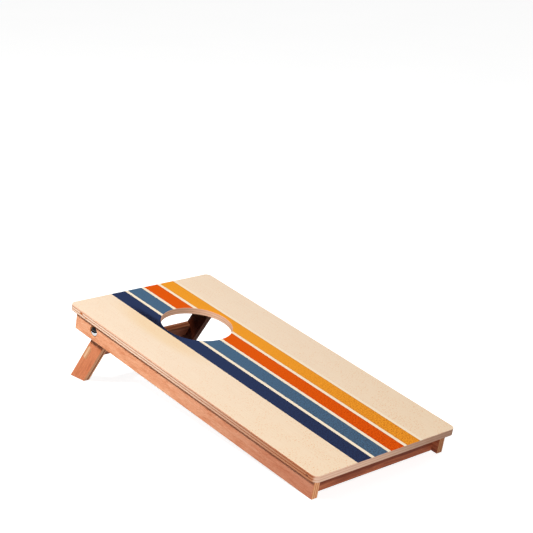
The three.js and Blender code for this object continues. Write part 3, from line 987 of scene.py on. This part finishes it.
def make_dowels(material):
    for node in dowel_nodes:
        low, high = span(node, board)
        place, length = seat(low, high, 0)
        radius = (high.z - low.z) / 2
        chamfered = radius - DOWEL_CHAMFER
        profile = [
            (0, 0), (0, chamfered), (DOWEL_CHAMFER, radius),
            (length - DOWEL_CHAMFER, radius), (length, chamfered), (length, 0),
        ]
        solid = turned(profile, segments=8 * DOWEL_FLUTES, relief=flute)
        piece = new_object(node + "_finished", solid, board @ place)
        piece.data.materials.append(material)
        handed_in(smoothed(piece), node, "board", "beech")


def depths(node):
    """(outer depth, inner depth, radius) of a turned piece, in from the rail's outer face."""
    low, high = span(node, board)
    reaches = [rail_face - abs(low.x), rail_face - abs(high.x)]
    return min(reaches), max(reaches), (high.y - low.y) / 2


def sleeve(node):
    """A low chrome dome, starting in the counterbore, on a plain tube that the leg turns on."""
    end, radius = depths(node)[1:]
    steps = 20
    rise = SLEEVE_HEAD_RISE + SLEEVE_DOME_START
    sphere = (radius ** 2 + rise ** 2) / (2 * rise)
    reach = math.asin(radius / sphere)
    dome = []
    for i in range(steps + 1):
        angle = reach * i / steps
        height = -SLEEVE_HEAD_RISE + sphere * (1 - math.cos(angle))
        dome.append((height, sphere * math.sin(angle)))
    bore_depth = depths(node.replace("sleeve", "bolt"))[0] - FIT
    profile = [
        *dome, (SLEEVE_HEAD_DEPTH - SLEEVE_CHAMFER, radius),
        (SLEEVE_HEAD_DEPTH, radius - SLEEVE_CHAMFER), (SLEEVE_HEAD_DEPTH, SLEEVE_RADIUS),
        (end - SLEEVE_CHAMFER, SLEEVE_RADIUS), (end, SLEEVE_RADIUS - SLEEVE_CHAMFER),
        (end, SLEEVE_BORE), (bore_depth, SLEEVE_BORE), (bore_depth, 0),
    ]
    return new_object(node + "_finished", turned(profile, segments=72))


def washer(node, pin_radius):
    outer, inner, radius = depths(node)
    bore = pin_radius + FIT
    profile = [
        (outer, bore), (outer, radius - WASHER_CHAMFER), (outer + WASHER_CHAMFER, radius),
        (inner - WASHER_CHAMFER, radius), (inner, radius - WASHER_CHAMFER), (inner, bore),
    ]
    return new_object(node + "_finished", turned(profile, segments=64))


def bolt(node):
    """A low round head with a hexagon socket, on a threaded shank. Its head is the inner end."""
    start, end, radius = depths(node)
    seat_depth = end - BOLT_HEAD_HEIGHT
    root = BOLT_RADIUS - BOLT_THREAD_DEPTH
    thread = (start + BOLT_TIP_CHAMFER, seat_depth - BOLT_THREAD_STOP, BOLT_PITCH)
    steps = 8
    crown = []
    for i in range(steps + 1):
        angle = math.pi / 2 * i / steps
        height = BOLT_CROWN_START + (1 - BOLT_CROWN_START) * math.sin(angle)
        crown.append((seat_depth + BOLT_HEAD_HEIGHT * height,
                      radius - (radius - BOLT_CROWN_TOP) * (1 - math.cos(angle))))
    profile = [
        (start, 0), (start, root - BOLT_TIP_CHAMFER), *levels(*thread, lambda _: root),
        (seat_depth - BOLT_COLLAR, BOLT_RADIUS), (seat_depth, BOLT_RADIUS),
        (seat_depth, radius - BOLT_HEAD_CHAMFER), (seat_depth + BOLT_HEAD_CHAMFER, radius),
        *crown, (end, 0),
    ]
    relief = helix(*thread, BOLT_THREAD_DEPTH, BOLT_PITCH)
    made = new_object(node + "_finished", turned(profile, segments=36, relief=relief))
    hexagon = arc((0, 0), BOLT_SOCKET_WIDTH / math.sqrt(3), 0, 300, steps=5)
    return carved(made, prism(hexagon, 2, end - BOLT_SOCKET_DEPTH, end + OVERSHOOT))


def make_pivots(chrome, zinc, plastic):
    for side, sign in SIDES.items():
        for stem, make, material, slot in (
            ("pivot_sleeve", sleeve, chrome, "chrome"),
            ("pivot_washer_outer", lambda node: washer(node, SLEEVE_RADIUS), plastic, "nylon"),
            ("pivot_washer_inner", lambda node: washer(node, BOLT_RADIUS), zinc, "zinc"),
            ("pivot_bolt", bolt, zinc, "zinc"),
        ):
            node = f"{stem}_{side}"
            piece = make(node)
            piece.matrix_world = board @ inwards(sign, pivot.y, pivot.z)
            handed_in(coated(piece, material), node, "board", slot)


# ---- studio ----
FLOOR_HALF_SIZE = 30
FLOOR_DROP = 0.2 * MM
FLOOR_GLOW = 0.88  # keeps the object's shadow faint
CARD_HALF_WIDTH = 0.40  # of the oval opening that the board stands in
CARD_HALF_LENGTH = 0.733
CARD_MIDDLE = -0.06  # along y
CARD_REACH = 5  # radius of the outer edge

CAMERA_AZIMUTH = -42.99  # degrees, as are the next two: 0 looks along +Y
CAMERA_ELEVATION = 15.65
CAMERA_ROLL = 2.05
CAMERA_DISTANCE = 2.322
CAMERA_LENS = 97.5
CAMERA_AIM = (0.0531, 0.0129, 0.2379)  # above the board, which stands low in the frame

# name: (place, what it faces, length, height, power)
SOFTBOXES = {
    "key": ((-2.0, 0.70, 2.2), (0, 0, 0.08), 0.8, 0.2, 101),
    "fill": ((-0.9, -2.2, 0.2), (-0.05, -0.1, 0.05), 0.8, 0.3, 33),
    "back": ((2.2, 0.25, 0.35), (0, 0, 0.06), 1.2, 0.5, 26),
}
SOFTBOX_TINT = (1.0, 0.99, 0.975)
TOP_STRENGTH = 0.25
TOP_DIRECTION = (0.1, -0.25, 1.0)  # towards the light
TOP_SPREAD = 60  # degrees
SKY = ((-0.05, 0.12), (0.02, 0.09), (0.25, 0.04), (1.0, 0.04))  # (sine of the height, glow)


def make_floor():
    bm = bmesh.new()
    bmesh.ops.create_grid(bm, x_segments=8, y_segments=8, size=FLOOR_HALF_SIZE)
    floor = new_object("floor", bm, Matrix.Translation((0, 0, -FLOOR_DROP)))
    shader = Shader("floor_paper")
    tone = shader.ramp(shader.noise(0.4, detail=2),
                       (0.3, colour(200, 200, 200)), (0.7, colour(206, 206, 205)))
    floor.data.materials.append(shader.finish(
        Base_Color=tone,
        Roughness=0.9,
        Specular_IOR_Level=0.0,
        Emission_Color=(1, 1, 1, 1),
        Emission_Strength=FLOOR_GLOW,
    ))
    floor.visible_diffuse = False


def make_card():
    """A black card round the set, seen only in the chrome, where it hides the bright far floor."""
    steps = 96
    bm = bmesh.new()
    rings = []
    for half_x, half_y in ((CARD_HALF_WIDTH, CARD_HALF_LENGTH), (CARD_REACH, CARD_REACH)):
        ring = []
        for i in range(steps):
            angle = math.tau * i / steps
            ring.append(bm.verts.new((half_x * math.cos(angle), half_y * math.sin(angle), 0)))
        rings.append(ring)
    inner, outer = rings
    for i in range(steps):
        j = (i + 1) % steps
        bm.faces.new((inner[i], outer[i], outer[j], inner[j]))
    card = new_object("card", bm, Matrix.Translation((0, CARD_MIDDLE, 0)))
    shader = Shader("card_paper")
    tone = shader.ramp(shader.noise(0.3, detail=2),
                       (0.3, colour(14, 14, 15)), (0.7, colour(22, 22, 23)))
    paper = shader.finish(Base_Color=tone, Roughness=0.9, Specular_IOR_Level=0.0)
    card.data.materials.append(paper)
    card.visible_camera = False
    card.visible_diffuse = False
    card.visible_transmission = False
    card.visible_shadow = False


def make_softboxes():
    for name, (place, aim, length, height, power) in SOFTBOXES.items():
        light = bpy.data.lights.new(name, "AREA")
        light.shape = "RECTANGLE"
        light.size = length
        light.size_y = height
        light.energy = power
        light.color = SOFTBOX_TINT
        turn = (Vector(place) - Vector(aim)).to_track_quat("Z", "Y")
        place_light(light, Matrix.Translation(place) @ turn.to_matrix().to_4x4())


def make_sun():
    light = bpy.data.lights.new("top", "SUN")
    light.energy = TOP_STRENGTH
    light.angle = math.radians(TOP_SPREAD)
    place_light(light, Vector(TOP_DIRECTION).to_track_quat("Z", "Y").to_matrix().to_4x4())


def place_light(light, place):
    lamp = linked(light.name, light, place)
    lamp.visible_camera = False
    lamp.visible_glossy = False


def make_world():
    world = bpy.data.worlds.new("studio")
    world.use_nodes = True
    tree = world.node_tree
    direction = tree.nodes.new("ShaderNodeTexCoord")
    parts = tree.nodes.new("ShaderNodeSeparateXYZ")
    height = tree.nodes.new("ShaderNodeMapRange")
    height.inputs["From Min"].default_value = -1
    ramp = tree.nodes.new("ShaderNodeValToRGB")
    set_stops(ramp, [((sine + 1) / 2, (glow, glow, glow, 1)) for sine, glow in SKY])
    tree.links.new(direction.outputs["Generated"], parts.inputs[0])
    tree.links.new(parts.outputs[2], height.inputs["Value"])
    tree.links.new(height.outputs[0], ramp.inputs[0])
    tree.links.new(ramp.outputs[0], tree.nodes["Background"].inputs["Color"])
    bpy.context.scene.world = world


def make_camera():
    data = bpy.data.cameras.new("camera")
    data.lens = CAMERA_LENS
    azimuth = math.radians(CAMERA_AZIMUTH)
    elevation = math.radians(CAMERA_ELEVATION)
    back = Vector((
        math.sin(azimuth) * math.cos(elevation),
        -math.cos(azimuth) * math.cos(elevation),
        math.sin(elevation),
    ))
    roll = Matrix.Rotation(math.radians(CAMERA_ROLL), 4, "Z")
    turn = back.to_track_quat("Z", "Y").to_matrix().to_4x4() @ roll
    place = Matrix.Translation(Vector(CAMERA_AIM) + back * CAMERA_DISTANCE) @ turn
    bpy.context.scene.camera = linked("camera", data, place)


# ---- assembly ----
make_camera()
make_floor()
make_card()
make_world()
make_softboxes()
make_sun()
bpy.context.scene.view_settings.view_transform = "Standard"

bores = board_bores()
make_deck(bores)
make_board_timber(bores)
leg_openings, leg_screw_holes = leg_bores()
make_legs(leg_openings, leg_screw_holes)
make_spreader(leg_screw_holes)
for cutter in (bores, leg_openings, leg_screw_holes):
    bpy.data.objects.remove(cutter)

zinc_plate = metal("zinc", colour(176, 178, 180), colour(200, 202, 203), 0.26, 0.14, 0.01 * MM)
chrome_plate = metal("chrome", colour(176, 178, 181), colour(196, 198, 201),
                     0.05, 0.05, 0.002 * MM)
make_screws(zinc_plate)
make_dowels(beech())
make_pivots(chrome_plate, zinc_plate, nylon())
